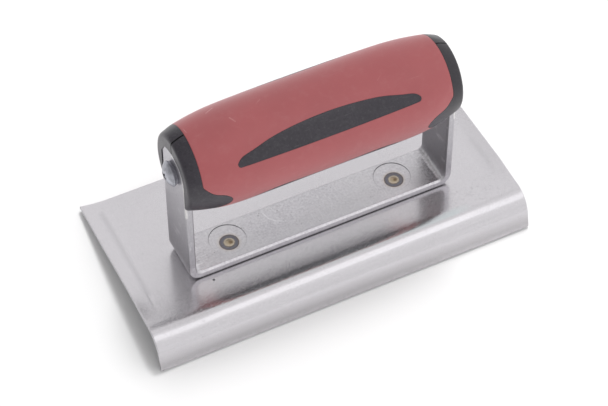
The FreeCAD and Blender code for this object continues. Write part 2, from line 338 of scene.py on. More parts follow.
def make_blade():
    xs, ins = [], []
    for k in range(5):                        # rounded end
        a = math.radians(22.5 * k)
        xs.append(L_HALF - ROUND * (1 - math.sin(a)))
        ins.append(ROUND * (1 - math.cos(a)))
    ends = [(x, i) for x, i in zip(xs, ins)]
    ends = [(L_HALF - ROUND * (1 - math.cos(math.radians(22.5 * k))), ROUND * (1 - math.sin(math.radians(22.5 * k)))) for k in range(5)]
    # k = 0: at the very end, fully inset; k = 4: full section
    cols = [(L_HALF - e + 0.0, i) for e, i in [(ROUND * (1 - math.cos(math.radians(q))), ROUND * (1 - math.sin(math.radians(q)))) for q in (0, 22.5, 45, 67.5, 90)]]
    right_cols = [(x, i) for x, i in cols]
    inner = []
    x = L_HALF - ROUND - 0.3
    while x > 60.0:
        inner.append((x, 0.0))
        x -= 0.36 if 68.0 < x < 74.0 else 0.8
    mid = [(60.0 - 120.0 * k / 60, 0.0) for k in range(61)]
    allc = right_cols + inner + mid + [(-x, i) for x, i in reversed(inner)] + [(-x, i) for x, i in reversed(right_cols)]
    verts, faces = [], []
    m = None
    for x, i in allc:
        rg = blade_ring(x, i)
        m = len(rg)
        verts += rg
    nc = len(allc)
    for c in range(nc - 1):
        for j in range(m):
            a, b = c * m + j, c * m + (j + 1) % m
            faces.append((a, b, b + m, a + m))
    n_side = len(MID) - 2
    for c in (0, nc - 1):
        o = c * m
        t = [o + j for j in range(n_side)]
        lp = [o + n_side + j for j in range(10)]
        bt = [o + n_side + 10 + j for j in range(n_side)][::-1]
        bk = [o + 2 * n_side + 10 + j for j in range(10)]
        for j in range(n_side - 1):
            faces.append((t[j], t[j + 1], bt[j + 1], bt[j]))
        faces.append(tuple([t[-1]] + lp + [bt[-1]]))
        faces.append(tuple([bt[0]] + bk + [t[0]]))
    return make("blade_sheet", verts, faces)


# -------------------------------------------------------------------- grip
H_X = [0.0, 12.0, 24.0, 35.0, 42.0, 46.0, 49.5, 52.8, 54.3]
H_A = [17.66, 17.60, 17.42, 17.10, 16.50, 15.80, 15.00, 14.10, 13.60]
H_U = [19.20, 19.18, 19.05, 18.70, 17.95, 17.45, 16.90, 15.55, 14.80]
H_D = [17.70, 17.88, 18.33, 18.52, 17.90, 17.05, 16.20, 15.10, 14.50]
full_x = [-v for v in H_X[:0:-1]] + H_X
HA, HU, HD = (natural(full_x, v[:0:-1] + v) for v in (H_A, H_U, H_D))
R0 = 17.8           # mm of arc per radian in the flat layout


def hull(x, t):
    """Points on the handle's outside; t is measured from the front, over the top."""
    x, t = np.asarray(x, float), np.asarray(t, float)
    s = np.sin(t)
    b = np.where(s >= 0, HU(x), HD(x))
    return np.stack([x, Y_C - HA(x) * np.cos(t), Z_C + b * s], axis=-1)


def hull_normal(x, t):
    e = 1e-3
    px = hull(x + e, t) - hull(x - e, t)
    pt = hull(x, t + e) - hull(x, t - e)
    n = np.cross(pt, px)
    n /= np.linalg.norm(n, axis=-1, keepdims=True)
    out = np.stack([np.zeros_like(np.asarray(x, float)), -np.cos(t), np.sin(t)], axis=-1)
    flip = np.sum(n * out, axis=-1, keepdims=True) < 0
    return np.where(flip, -n, n)


TOE = [(49.2, 56.6), (49.126, 56.034), (48.891, 55.514), (48.54, 55.063), (48.156, 54.639), (47.782, 54.205),
       (47.411, 53.77), (47.031, 53.342), (46.632, 52.931), (46.207, 52.547), (45.757, 52.194), (45.283, 51.873),
       (44.788, 51.586), (44.274, 51.333), (43.746, 51.114), (43.21, 50.913), (42.675, 50.708), (42.152, 50.477),
       (41.651, 50.2), (41.178, 49.877), (40.735, 49.515), (40.319, 49.122), (39.929, 48.703), (39.571, 48.257),
       (39.261, 47.776), (39.016, 47.259), (38.856, 46.71), (38.792, 46.142), (38.819, 45.571), (38.94, 45.012),
       (39.159, 44.484), (39.472, 44.006), (39.853, 43.579), (40.277, 43.194), (40.723, 42.836), (41.179, 42.489),
       (41.637, 42.147), (42.096, 41.804), (42.551, 41.457), (43.001, 41.102), (43.441, 40.737), (43.871, 40.358),
       (44.29, 39.968), (44.703, 39.572), (45.114, 39.174), (45.528, 38.778), (45.949, 38.39), (46.381, 38.015),
       (46.827, 37.656), (47.266, 37.289), (47.669, 36.883), (48.016, 36.428), (48.297, 35.93), (48.517, 35.401)]
LENS = [(0.0, 67.2), (1.833, 67.191), (3.666, 67.165), (5.498, 67.121), (7.33, 67.058), (9.161, 66.978), (10.992, 66.88),
        (12.821, 66.763), (14.649, 66.628), (16.476, 66.474), (18.3, 66.294), (20.12, 66.078), (21.934, 65.817),
        (23.74, 65.501), (25.534, 65.125), (27.321, 64.719), (29.112, 64.326), (30.011, 64.148), (30.912, 63.981),
        (31.81, 63.802), (32.699, 63.577), (33.562, 63.272), (34.375, 62.851), (35.098, 62.289), (35.7, 61.6),
        (35.74, 61.15), (35.62, 60.72), (35.28, 60.38), (34.8, 60.2)]


def resample(p, step):
    p = np.array(p, float)
    d = np.r_[0, np.cumsum(np.linalg.norm(np.diff(p, axis=0), axis=1))]
    n = max(2, int(round(d[-1] / step)) + 1)
    q = np.linspace(0, d[-1], n)
    return np.stack([np.interp(q, d, p[:, k]) for k in range(2)], axis=1)


def right_edge():
    """Edge of the grip at its right end, in (x, arc): one turn from the bottom round the front, over the top."""
    pts = []
    for x, z in reversed(TOE):
        q = (z - Z_C) / float(HD(x) if z < Z_C else HU(x))
        if q <= -1 or not pts:
            pts = [(x, -math.pi / 2)]
            continue
        pts.append((x, math.asin(q)))
    t1 = pts[-1][1]
    for k in range(1, 40):
        pts.append((49.2, t1 + (math.pi / 2 - t1) * k / 40))
    half = [(x, t * R0) for x, t in pts]
    half = [tuple(v) for v in resample(half + [(49.2, math.pi / 2 * R0)], 0.7)]
    rear = [(x, (math.pi - s / R0) * R0) for x, s in reversed(half[1:-1])]
    return np.array(half + rear)


TURN = 2 * math.pi * R0


def lens_loop(rear=False):
    right = LENS
    bottom = [(34.8 - 69.6 * k / 90, 60.2) for k in range(1, 90)]
    left = [(-x, z) for x, z in reversed(right)]
    loop = right + bottom + left[:-1]
    out = []
    for x, z in loop:
        t = math.asin((z - Z_C) / float(HU(x)))
        out.append((x, (math.pi - t if rear else t) * R0))
    o = np.array(out)
    o = resample(np.r_[o, o[:1]], 0.7)[:-1]
    return o


def offset(p, d, turn=0.0):
    """Move a closed loop sideways by d (to the left of its direction); turn is its arc per lap."""
    nxt, prv = np.roll(p, -1, 0), np.roll(p, 1, 0)
    nxt[-1, 1] += turn
    prv[0, 1] -= turn
    t = nxt - prv
    t = t / np.linalg.norm(t, axis=1, keepdims=True)
    n = np.stack([-t[:, 1], t[:, 0]], axis=1)
    return p + n * d


BELLY = [(38.6, 0.0), (38.66, 1.01), (38.66, 2.02), (38.61, 3.03), (38.52, 4.03), (38.38, 5.03), (38.19, 6.02), (37.96, 7.01),
         (37.66, 7.97), (37.29, 8.91), (36.84, 9.81), (36.28, 10.65), (35.6, 11.4), (34.81, 12.03), (33.95, 12.55),
         (33.03, 12.97), (32.08, 13.32), (31.12, 13.63), (30.15, 13.9), (29.17, 14.15), (28.18, 14.37), (27.2, 14.58),
         (26.2, 14.77), (25.21, 14.93), (24.21, 15.07), (23.2, 15.19), (22.2, 15.28), (21.19, 15.36), (20.18, 15.41),
         (19.17, 15.44), (18.16, 15.45), (17.15, 15.45), (16.14, 15.44), (15.13, 15.41), (14.12, 15.37), (13.12, 15.33),
         (12.11, 15.28), (11.1, 15.22), (10.09, 15.16), (9.08, 15.09), (8.08, 15.03), (7.07, 14.96), (6.06, 14.9),
         (5.05, 14.85), (4.04, 14.8), (3.03, 14.76), (2.02, 14.73), (1.01, 14.71)]


def belly_loop():
    q = BELLY
    loop = q + [(0.0, 14.7)] + [(-x, y) for x, y in reversed(q)]
    loop += [(x, -y) for x, y in reversed(loop[1:-1])]
    out = [(x, -math.acos(-y / float(HA(x))) * R0) for x, y in loop]
    o = np.array(out)
    return resample(np.r_[o, o[:1]], 0.7)[:-1]


def inside(poly, q):
    x, y = q[:, 0], q[:, 1]
    c = np.zeros(len(q), bool)
    for (x1, y1), (x2, y2) in zip(poly, np.roll(poly, -1, 0)):
        hit = (y1 > y) != (y2 > y)
        with np.errstate(divide="ignore", invalid="ignore"):
            xi = (x2 - x1) * (y - y1) / (y2 - y1) + x1
        c ^= hit & (x < xi)
    return c


def make_grip():
    from mathutils.geometry import delaunay_2d_cdt
    edge_r = right_edge()
    windows = [lens_loop(False), lens_loop(True), belly_loop()]

    def area2(p):
        return 0.5 * np.sum(p[:, 0] * np.roll(p[:, 1], -1) - np.roll(p[:, 0], -1) * p[:, 1])

    for i, l in enumerate(windows):
        if area2(l) < 0:
            windows[i] = l[::-1]
    SET = 0.42
    # inset = towards the grip's own surface

    def er(d):
        return offset(edge_r, d, TURN)           # edge_r runs upwards: left of it is -x, the grip

    def el(d):
        return er(d) * [-1, 1]

    def ln(i, d):
        return offset(windows[i], -d)            # loop runs anticlockwise: right of it is outside the window

    r0 = er(SET)
    # lay the surface out flat, cut along the rear of the underside
    k0 = int(np.argmin(np.abs(r0[:, 1] - math.radians(198) * R0)))
    r0 = np.r_[r0[k0:] - [0, TURN], r0[:k0 + 1]]
    l0 = r0 * [-1, 1]
    n_cut = 78
    cut_lo = np.stack([np.linspace(l0[0, 0], r0[0, 0], n_cut)[1:-1], np.full(n_cut - 2, r0[0, 1])], axis=1)
    cut_hi = cut_lo[::-1] * [1, 0] + [0, r0[-1, 1]]
    outer = np.r_[cut_lo, r0, cut_hi, l0[::-1]]
    holes = [ln(i, SET) for i in range(3)]
    # interior points
    g = []
    step = 1.15
    j = 0
    for s in np.arange(r0[0, 1] + step * 0.87, r0[-1, 1] - 0.4, step * 0.87):
        for x in np.arange(-50, 50.01, step):
            g.append((x + (0.5 * step if j % 2 else 0), s))
        j += 1
    g = np.array(g)
    ok = inside(outer, g)
    for h in holes:
        ok &= ~inside(h, g)
    for loop in [r0, l0] + holes:
        for p in loop:
            ok &= np.hypot(g[:, 0] - p[0], g[:, 1] - p[1]) > 0.62
    g = g[ok]
    verts2 = np.concatenate([outer] + holes + [g])
    edges = []
    o = 0
    for loop in [outer] + holes:
        n = len(loop)
        edges += [(o + i, o + (i + 1) % n) for i in range(n)]
        o += n
    res = delaunay_2d_cdt([Vector(v) for v in verts2], edges, [], 0, 1e-7)
    v2 = np.array([tuple(v) for v in res[0]])
    tri = np.array([f for f in res[2]])
    cen = v2[tri].mean(axis=1)
    keep = inside(outer, cen)
    for h in holes:
        keep &= ~inside(h, cen)
    tri = tri[keep]

    def lay(p, depth):
        t = p[:, 1] / R0
        pts = hull(p[:, 0], t) - hull_normal(p[:, 0], t) * np.asarray(depth).reshape(-1, 1)
        return pts

    verts = [lay(v2, [0.0])]
    faces = [tuple(f) for f in tri]
    n0 = len(v2)
    verts.append(lay(v2, [2.35]))
    faces += [tuple(int(i) + n0 for i in f[::-1]) for f in tri]
    base = 2 * n0
    steps = [(0.42, 0.0), (0.26, 0.0), (0.15, 0.025), (0.06, 0.085), (0.01, 0.19), (0.0, 0.34), (0.0, 1.3), (0.42, 2.35)]
    for make_loop in [er, el] + [lambda d, i=i: ln(i, d) for i in range(3)]:
        rings = [lay(make_loop(d), [z]) for d, z in steps]
        n = len(rings[0])
        verts += rings
        for k in range(len(steps) - 1):
            for i in range(n):
                a, b = base + k * n + i, base + k * n + (i + 1) % n
                faces.append((a, b, b + n, a + n))
        base += n * len(steps)
    verts = np.concatenate(verts)
    return make("grip_sleeve", verts, faces, merge=0.004)


# ------------------------------------------------------------------- welds
def lathe(name, profile, centre, axis, n=72):
    """Solid of revolution; profile is (radius, height) from the axis round to the axis."""
    ax = Vector(axis).normalized()
    u = ax.orthogonal().normalized()
    w = ax.cross(u)
    c = Vector(centre)
    verts, faces, rows = [], [], []
    for r, h in profile:
        if r < 1e-6:
            rows.append([len(verts)])
            verts.append(tuple(c + ax * h))
        else:
            rows.append([len(verts) + k for k in range(n)])
            for k in range(n):
                a = 2 * math.pi * k / n
                verts.append(tuple(c + ax * h + (u * math.cos(a) + w * math.sin(a)) * r))
    for p, q in zip(rows, rows[1:]):
        for k in range(n):
            if len(p) == 1 and len(q) > 1:
                faces.append((p[0], q[k], q[(k + 1) % n]))
            elif len(q) == 1 and len(p) > 1:
                faces.append((p[k], q[0], p[(k + 1) % n]))
            elif len(p) > 1:
                faces.append((p[k], q[k], q[(k + 1) % n], p[(k + 1) % n]))
    return make(name, verts, faces)


def make_weld(name, sx):
    z = 4.115
    prof = [(0, z - 0.21), (0.35, z - 0.205), (0.7, z - 0.185), (1.05, z - 0.15), (1.35, z - 0.10), (1.6, z - 0.045),
            (1.8, z - 0.018), (1.95, z - 0.03), (2.1, z - 0.07), (2.25, z - 0.085), (2.6, z - 0.06), (3.0, z - 0.03),
            (3.35, z - 0.008), (3.55, z - 0.012), (3.66, z - 0.05), (3.69, z - 0.14), (3.69, 0.63), (0, 0.63)]
    w = lathe(name, prof, (sx * 34.2, -5.4, 0.0), (0, 0, 1), 96)
    for v in w.data.vertices:            # not perfectly round
        dx, dy = v.co.x - sx * 0.0342, v.co.y + 0.0054
        if v.co.z > 0.0035:
            v.co.z += 0.00002 * noise.noise(Vector((dx * 900, dy * 900, sx * 4.0))) - 0.00002
    return w


blade_sheet = make_blade()
grip_sleeve = make_grip()
weld_l = make_weld("weld_nugget_left", -1)
weld_r = make_weld("weld_nugget_right", 1)


# --------------------------------------------------------------- materials
def dist_to(a, point, flat=False):
    """Distance from a point (metres) in object space."""
    x = a.n("ShaderNodeVectorMath", operation="SUBTRACT")
    a.link(a.co, x.inputs[0])
    x.inputs[1].default_value = point
    if flat:
        y = a.n("ShaderNodeVectorMath", operation="MULTIPLY")
        a.link(x.outputs[0], y.inputs[0])
        y.inputs[1].default_value = (1, 1, 0)
        x = y
    y = a.n("ShaderNodeVectorMath", operation="LENGTH")
    a.link(x.outputs[0], y.inputs[0])
    return y.outputs["Value"]


def seg_mask(a, p, q, r, soft):
    """1 on the segment p-q, falling to 0 by r (metres)."""
    p, q = Vector(p), Vector(q)
    d = (q - p)
    ln_ = d.length
    d = d / ln_
    v = a.n("ShaderNodeVectorMath", operation="SUBTRACT")
    a.link(a.co, v.inputs[0])
    v.inputs[1].default_value = p
    t = a.n("ShaderNodeVectorMath", operation="DOT_PRODUCT")
    a.link(v.outputs[0], t.inputs[0])
    t.inputs[1].default_value = d
    tc = a.n("ShaderNodeClamp")
    a.link(t.outputs["Value"], tc.inputs[0])
    tc.inputs[1].default_value = 0.0
    tc.inputs[2].default_value = ln_
    sc = a.n("ShaderNodeVectorMath", operation="SCALE")
    sc.inputs[0].default_value = d
    a.link(tc.outputs[0], sc.inputs["Scale"])
    w = a.n("ShaderNodeVectorMath", operation="SUBTRACT")
    a.link(v.outputs[0], w.inputs[0])
    a.link(sc.outputs[0], w.inputs[1])
    l = a.n("ShaderNodeVectorMath", operation="LENGTH")
    a.link(w.outputs[0], l.inputs[0])
    return a.remap(l.outputs["Value"], r, r * (1 - soft), 0.0, 1.0)


def stainless(name):
    a = Mat(name)
    fine = a.noise(a.mapping((260, 5200, 5200)), 1.0, 3, 0.6)
    cloud = a.noise(a.mapping((26, 34, 34)), 1.0, 4, 0.55)
    speck = a.noise(a.co, 1900, 2, 0.5)
    hair = a.noise(a.mapping((22, 3300, 3300), rot=(0, 0, 0.035)), 1.0, 2, 0.5)
    hair2 = a.noise(a.mapping((1500, 60, 60), rot=(0, 0, 0.5)), 1.0, 2, 0.5)
    base = (0.640, 0.624, 0.648)
    col = a.mix(a.remap(cloud, 0.35, 0.65, 0, 1), tuple(c * 0.985 for c in base), tuple(min(1, c * 1.012) for c in base))
    col = a.mix(a.remap(hair, 0.70, 0.82, 0, 0.16), col, (0.50, 0.49, 0.51))
    gr = a.noise(a.co, 1300, 2, 0.6)
    col = a.mix(a.remap(gr, 0.54, 0.70, 0, 0.22), col, (0.50, 0.49, 0.51))
    col = a.mix(a.remap(gr, 0.46, 0.30, 0, 0.22), col, (0.70, 0.69, 0.71))
    col = a.mix(a.remap(speck, 0.73, 0.80, 0, 0.35), col, (0.40, 0.39, 0.41))
    # long rolling streaks
    streak = a.noise(a.mapping((8, 430, 330)), 1.0, 3, 0.55)
    py = a.n("ShaderNodeSeparateXYZ")
    a.link(a.co, py.inputs[0])
    lip = a.remap(py.outputs["Y"], -0.0215, -0.0275, 0.12, 1.0)
    col = a.mix(a.math("MULTIPLY", lip, a.remap(streak, 0.52, 0.72, 0, 0.26)), col, (0.735, 0.725, 0.760))
    col = a.mix(a.math("MULTIPLY", lip, a.remap(streak, 0.48, 0.28, 0, 0.26)), col, (0.475, 0.462, 0.480))
    pits = None
    for p, r, k in (((-0.04585, -0.01685, 0.0013), 0.00062, 1.0), ((0.0538, -0.0194, 0.0013), 0.00048, 0.22),
                    ((-0.06425, -0.03457, -0.00252), 0.00042, 0.55), ((0.0275, 0.0215, 0.0013), 0.00024, 0.45),
                    ((-0.0640, 0.0060, 0.0013), 0.00022, 0.45)):
        m_ = a.math("MULTIPLY", a.remap(dist_to(a, p), r, r * 0.45, 0, 1), k)
        pits = m_ if pits is None else a.math("MAXIMUM", pits, m_)
    col = a.mix(a.math("MULTIPLY", pits, 0.92), col, (0.06, 0.055, 0.06))
    # painted blue-green tint along the start of the bend, a painted reflection correction which keeps the grip's
    # reflection there neutral
    reflection_tint = a.math("MULTIPLY", a.remap(py.outputs["Y"], -0.0252, -0.0272, 0, 1), a.remap(py.outputs["Y"], -0.0292, -0.0283, 0, 1))
    reflection_tint = a.math("MULTIPLY", reflection_tint, a.remap(a.math("ABSOLUTE", py.outputs["X"]), 0.0560, 0.0480, 0, 1))
    col = a.mix(a.math("MULTIPLY", reflection_tint, 0.80), col, (0.595, 0.640, 0.655))
    # painted shade: the lower half of the lip is painted darker, for the shadowed floor it reflects
    lip_shade = a.math("MULTIPLY", a.remap(py.outputs["Z"], -0.0052, -0.0100, 0, 1), a.remap(py.outputs["Z"], -0.0122, -0.0108, 0.35, 1))
    col = a.mix(a.math("MULTIPLY", lip_shade, 0.92), col, (0.470, 0.455, 0.470))
    dirt = a.math("MULTIPLY", a.remap(a.noise(a.mapping((700, 1500, 1500)), 1.0, 3, 0.6), 0.52, 0.66, 0, 0.40),
                  a.remap(py.outputs["Z"], -0.0092, -0.0112, 0, 1))
    col = a.mix(dirt, col, (0.33, 0.32, 0.33))
    pepper = a.math("MULTIPLY", a.remap(a.noise(a.co, 1250, 2, 0.6), 0.56, 0.70, 0, 0.42),
                    a.math("MULTIPLY", a.remap(py.outputs["Y"], -0.0150, -0.0185, 0, 1), a.remap(py.outputs["Y"], -0.0290, -0.0265, 0, 1)))
    col = a.mix(pepper, col, (0.40, 0.39, 0.41))
    # painted shade in the crease beside each end, and a painted contact shadow along the strip
    for x0, y0, y1, k in ((-70.0, -0.0125, 0.0300, 0.27), (70.9, -0.0150, 0.0010, 0.11)):
        crease_shade = seg_mask(a, (x0 * MM, y0, 0.0016), (x0 * MM, y1, 0.0017), (2.0 if x0 < 0 else 3.2) * MM, 1.0)
        col = a.mix(a.math("MULTIPLY", a.math("POWER", crease_shade, 1.4), k), col, (0.33, 0.32, 0.34))
    # painted contact shadow on the blade along the strip's front edge
    contact_shade = seg_mask(a, (-0.0515, -0.0141, 0.0013), (0.0515, -0.0141, 0.0013), 0.75 * MM, 0.8)
    col = a.mix(a.math("MULTIPLY", contact_shade, 0.62), col, (0.10, 0.095, 0.10))
    # brushed: mostly smooth, with finely scattered rougher streaks that haze the reflections
    haze = a.noise(a.mapping((6000, 21000, 21000)), 1.0, 0, 0.5)
    ro = a.math("ADD", a.remap(fine, 0.3, 0.7, 0.175, 0.235), a.remap(cloud, 0.3, 0.7, -0.012, 0.02))
    polish = a.math("MULTIPLY", a.remap(py.outputs["Y"], -0.0140, -0.0175, 0, 1), a.remap(py.outputs["Y"], -0.0330, -0.0300, 0, 1))
    polish = a.math("MULTIPLY", polish, a.remap(a.math("ABSOLUTE", py.outputs["X"]), 0.0580, 0.0500, 0, 1))
    ro = a.math("ADD", ro, a.math("MULTIPLY", polish, -0.045))
    ro = a.math("ADD", ro, a.remap(haze, 0.53, 0.62, 0.0, 0.33))
    ro = a.math("ADD", ro, a.remap(hair2, 0.68, 0.78, 0.0, 0.10))
    dots = a.math("MULTIPLY", a.remap(a.noise(a.co, 2100, 2, 0.6), 0.60, 0.70, 0, 1), a.remap(py.outputs["Y"], -0.0150, -0.0200, 0, 1))
    ro = a.math("ADD", ro, a.math("MULTIPLY", dots, 0.22))
    h = a.math("ADD", a.math("MULTIPLY", fine, 0.35), a.math("MULTIPLY", pits, -4.0))
    return a.out(Base_Color=col, Metallic=1.0, Roughness=ro, Normal=a.bump(h, 0.30, 0.00002))


def zinc(name):
    a = Mat(name)
    grain = a.noise(a.co, 1500, 4, 0.65)
    mott = a.noise(a.co, 330, 4, 0.6, 0.4)
    cloud = a.noise(a.co, 70, 3, 0.5)
    pit = a.n("ShaderNodeTexVoronoi", feature="F1")
    pit.inputs["Scale"].default_value = 520.0
    a.link(a.co, pit.inputs["Vector"])
    gate = a.noise(a.co, 210, 2, 0.5)
    pits = a.math("MULTIPLY", a.remap(pit.outputs["Distance"], 0.20, 0.08, 0, 1), a.remap(gate, 0.56, 0.62, 0, 1))
    base = (0.560, 0.545, 0.575)
    col = a.mix(a.remap(mott, 0.32, 0.68, 0, 1), tuple(c * 0.91 for c in base), tuple(c * 1.07 for c in base))
    speck = a.noise(a.co, 1150, 2, 0.6)
    col = a.mix(a.remap(speck, 0.50, 0.66, 0, 0.72), col, (0.66, 0.65, 0.67))
    col = a.mix(a.remap(speck, 0.46, 0.32, 0, 0.66), col, (0.43, 0.415, 0.44))
    col = a.mix(a.remap(cloud, 0.35, 0.70, 0, 0.5), col, (0.60, 0.590, 0.605))
    col = a.mix(a.remap(grain, 0.62, 0.75, 0, 0.25), col, (0.42, 0.40, 0.43))
    up = a.n("ShaderNodeSeparateXYZ")
    a.link(a.co, up.inputs[0])
    # painted shade: the uprights are painted darker than the base above about 6 mm
    col = a.mix(a.remap(up.outputs["Z"], 0.006, 0.016, 0, 0.5), col, (0.40, 0.39, 0.415))
    # painted shade, darker again on the lower part of the uprights
    lower_upright_shade = a.math("MULTIPLY", a.remap(up.outputs["Z"], 0.006, 0.009, 0, 1), a.remap(up.outputs["Z"], 0.021, 0.010, 0, 1))
    col = a.mix(a.math("MULTIPLY", lower_upright_shade, 0.45), col, (0.31, 0.30, 0.32))
    # painted shade on the inner faces of the uprights, under the handle
    inner = a.remap(a.math("ABSOLUTE", up.outputs["X"]), 0.05175, 0.05135, 0, 1)
    inner = a.math("MULTIPLY", inner, a.remap(up.outputs["Z"], 0.006, 0.010, 0, 1))
    col = a.mix(a.math("MULTIPLY", inner, 0.55), col, (0.27, 0.26, 0.28))
    col = a.mix(a.math("MULTIPLY", pits, 0.6), col, (0.20, 0.19, 0.20))
    halo = None
    for sx in (-1, 1):
        m_ = a.remap(dist_to(a, (sx * 0.0342, -0.0054, 0.0043), True), 0.0049, 0.0036, 0, 1)
        halo = m_ if halo is None else a.math("MAXIMUM", halo, m_)
    col = a.mix(a.math("MULTIPLY", halo, 0.40), col, (0.52, 0.44, 0.36))
    # dark ring round each coined recess: a real groove mark plus painted shade, stronger on the upper-left arc
    for sx in (-1, 1):
        dr = dist_to(a, (sx * 0.0342, -0.0039, 0.0043), True)
        line = a.math("MULTIPLY", a.remap(dr, 0.00680, 0.00702, 0, 1), a.remap(dr, 0.00702, 0.00730, 1, 0))
        side = seg_mask(a, (sx * 0.0342 - 0.0046, 0.0032, 0.0043), (sx * 0.0342 + 0.0020, 0.0042, 0.0043), 7.5 * MM, 1.0)
        line = a.math("MULTIPLY", line, a.math("ADD", a.math("MULTIPLY", side, 0.75), 0.22))
        col = a.mix(line, col, (0.13, 0.125, 0.14))
    # painted contact shadow along the front and back edges of the strip where it meets the blade
    for y0 in (-0.0141, 0.0044):
        contact_shade = seg_mask(a, (-0.0515, y0, 0.0013), (0.0515, y0, 0.0013), 0.75 * MM, 0.75)
        col = a.mix(a.math("MULTIPLY", contact_shade, 0.72), col, (0.09, 0.085, 0.09))
    scr = a.noise(a.mapping((70, 2600, 2600), rot=(0, 0, 0.12)), 1.0, 2, 0.5)
    col = a.mix(a.remap(scr, 0.64, 0.76, 0, 0.40), col, (0.36, 0.35, 0.37))
    scr2 = a.noise(a.mapping((1700, 110, 300), rot=(0, 0, 0.5)), 1.0, 2, 0.5)
    col = a.mix(a.remap(scr2, 0.62, 0.74, 0, 0.60), col, (0.70, 0.69, 0.71))
    bend = seg_mask(a, (-0.0495, -0.0125, 0.0045), (-0.0495, 0.0030, 0.0045), 6.5 * MM, 0.8)
    drag = a.noise(a.mapping((330, 1500, 330)), 1.0, 3, 0.6)
    col = a.mix(a.math("MULTIPLY", bend, a.remap(drag, 0.52, 0.66, 0, 0.85)), col, (0.80, 0.79, 0.81))
    col = a.mix(a.math("MULTIPLY", bend, a.remap(drag, 0.46, 0.34, 0, 0.55)), col, (0.34, 0.33, 0.35))
    # painted highlight along the rounded outer edge of each upright, broken up by noise
    edge = [(-4.7, 60.2), (-7.9, 59.7), (-10.4, 58.4), (-12.3, 56.2), (-13.3, 53.8), (-13.7, 49.0), (-13.7, 37.0)]
    edge_highlight = None
    for sx in (-1, 1):
        for (y0, z0), (y1, z1), k in zip(edge, edge[1:], (0.6, 1.0, 1.0, 1.0, 0.9, 0.75)):
            m_ = seg_mask(a, (sx * 0.0540, y0 * MM, z0 * MM), (sx * 0.0540, y1 * MM, z1 * MM), 1.05 * MM, 0.5)
            m_ = a.math("MULTIPLY", m_, k)
            edge_highlight = m_ if edge_highlight is None else a.math("MAXIMUM", edge_highlight, m_)
    edge_highlight = a.math("MULTIPLY", edge_highlight, a.remap(a.noise(a.co, 1100, 3, 0.6), 0.34, 0.54, 0.35, 1))
    col = a.mix(a.math("MULTIPLY", edge_highlight, 0.85), col, (0.93, 0.915, 0.89))
    # blotches in the right bend and a light curved scuff in the middle
    blot = seg_mask(a, (0.0470, -0.0118, 0.0044), (0.0500, 0.0018, 0.0050), 4.2 * MM, 0.9)
    bn = a.noise(a.co, 950, 3, 0.65)
    col = a.mix(a.math("MULTIPLY", blot, a.remap(bn, 0.46, 0.64, 0, 0.60)), col, (0.20, 0.19, 0.20))
    for p, q, k in (((-17.2, 1.6, 4.3), (-16.4, -1.6, 4.3), 0.75), ((-16.4, -1.6, 4.3), (-14.6, -3.8, 4.3), 0.85), ((-14.6, -3.8, 4.3), (-12.4, -4.9, 4.3), 0.6),
                    ((-13.6, 3.2, 4.3), (-12.7, 0.4, 4.3), 0.5), ((-6.0, -1.0, 4.3), (-1.8, -2.2, 4.3), 0.35), ((6.5, -8.0, 4.3), (8.0, -5.6, 4.3), 0.4)):
        m_ = seg_mask(a, tuple(c * MM for c in p), tuple(c * MM for c in q), 0.34 * MM, 0.8)
        col = a.mix(a.math("MULTIPLY", m_, k * 0.6), col, (0.80, 0.79, 0.81))
    # painted highlight: the front of the base top is painted a little brighter
    front = a.math("MULTIPLY", a.remap(up.outputs["Y"], -0.0080, -0.0122, 0, 1), a.remap(up.outputs["X"], 0.043, 0.037, 0, 1))
    front = a.math("MULTIPLY", front, a.remap(up.outputs["Z"], 0.0060, 0.0050, 0, 1))
    front = a.math("MULTIPLY", front, a.remap(up.outputs["Y"], -0.0127, -0.0133, 1, 0.25))
    col = a.mix(a.math("MULTIPLY", front, 0.36), col, (0.76, 0.745, 0.775))
    ro = a.math("ADD", a.remap(grain, 0.3, 0.7, 0.31, 0.43), a.remap(mott, 0.3, 0.7, -0.02, 0.03))
    h = a.math("ADD", a.math("MULTIPLY", mott, 0.9), a.math("MULTIPLY", grain, 0.5))
    h = a.math("ADD", h, a.math("MULTIPLY", pits, -2.5))
    return a.out(Base_Color=col, Metallic=1.0, Roughness=ro, Normal=a.bump(h, 0.30, 0.00004))


def heat_tint(name, sx):
    a = Mat(name)
    d = dist_to(a, (sx * 0.0342, -0.0054, 0.0041), True)
    wob = a.noise(a.co, 900, 3, 0.6)
    d = a.math("ADD", d, a.remap(wob, 0.3, 0.7, -0.00012, 0.00012))
    col = a.ramp(a.remap(d, 0.0, 0.0037, 0, 1), [
        (0.00, (0.42, 0.34, 0.22)), (0.20, (0.43, 0.35, 0.235)), (0.36, (0.48, 0.40, 0.29)), (0.47, (0.53, 0.47, 0.37)),
        (0.53, (0.40, 0.33, 0.24)), (0.58, (0.17, 0.165, 0.185)), (0.80, (0.135, 0.135, 0.160)), (0.93, (0.15, 0.14, 0.15)), (1.0, (0.33, 0.24, 0.16))])
    mott = a.noise(a.co, 1700, 3, 0.6)
    col = a.mix(a.remap(mott, 0.35, 0.7, 0, 0.35), col, (0.30, 0.28, 0.28))
    spot = dist_to(a, (sx * 0.0342 + 0.00062, -0.0054 - 0.0001, 0.0041), True)
    col = a.mix(a.remap(a.math("ADD", spot, a.remap(wob, 0.3, 0.7, -0.0002, 0.0002)), 0.00115, 0.00045, 0, 0.75), col, (0.155, 0.100, 0.055))
    ro = a.remap(mott, 0.3, 0.7, 0.30, 0.44)
    return a.out(Base_Color=col, Metallic=1.0, Roughness=ro, Normal=a.bump(mott, 0.3, 0.00004))


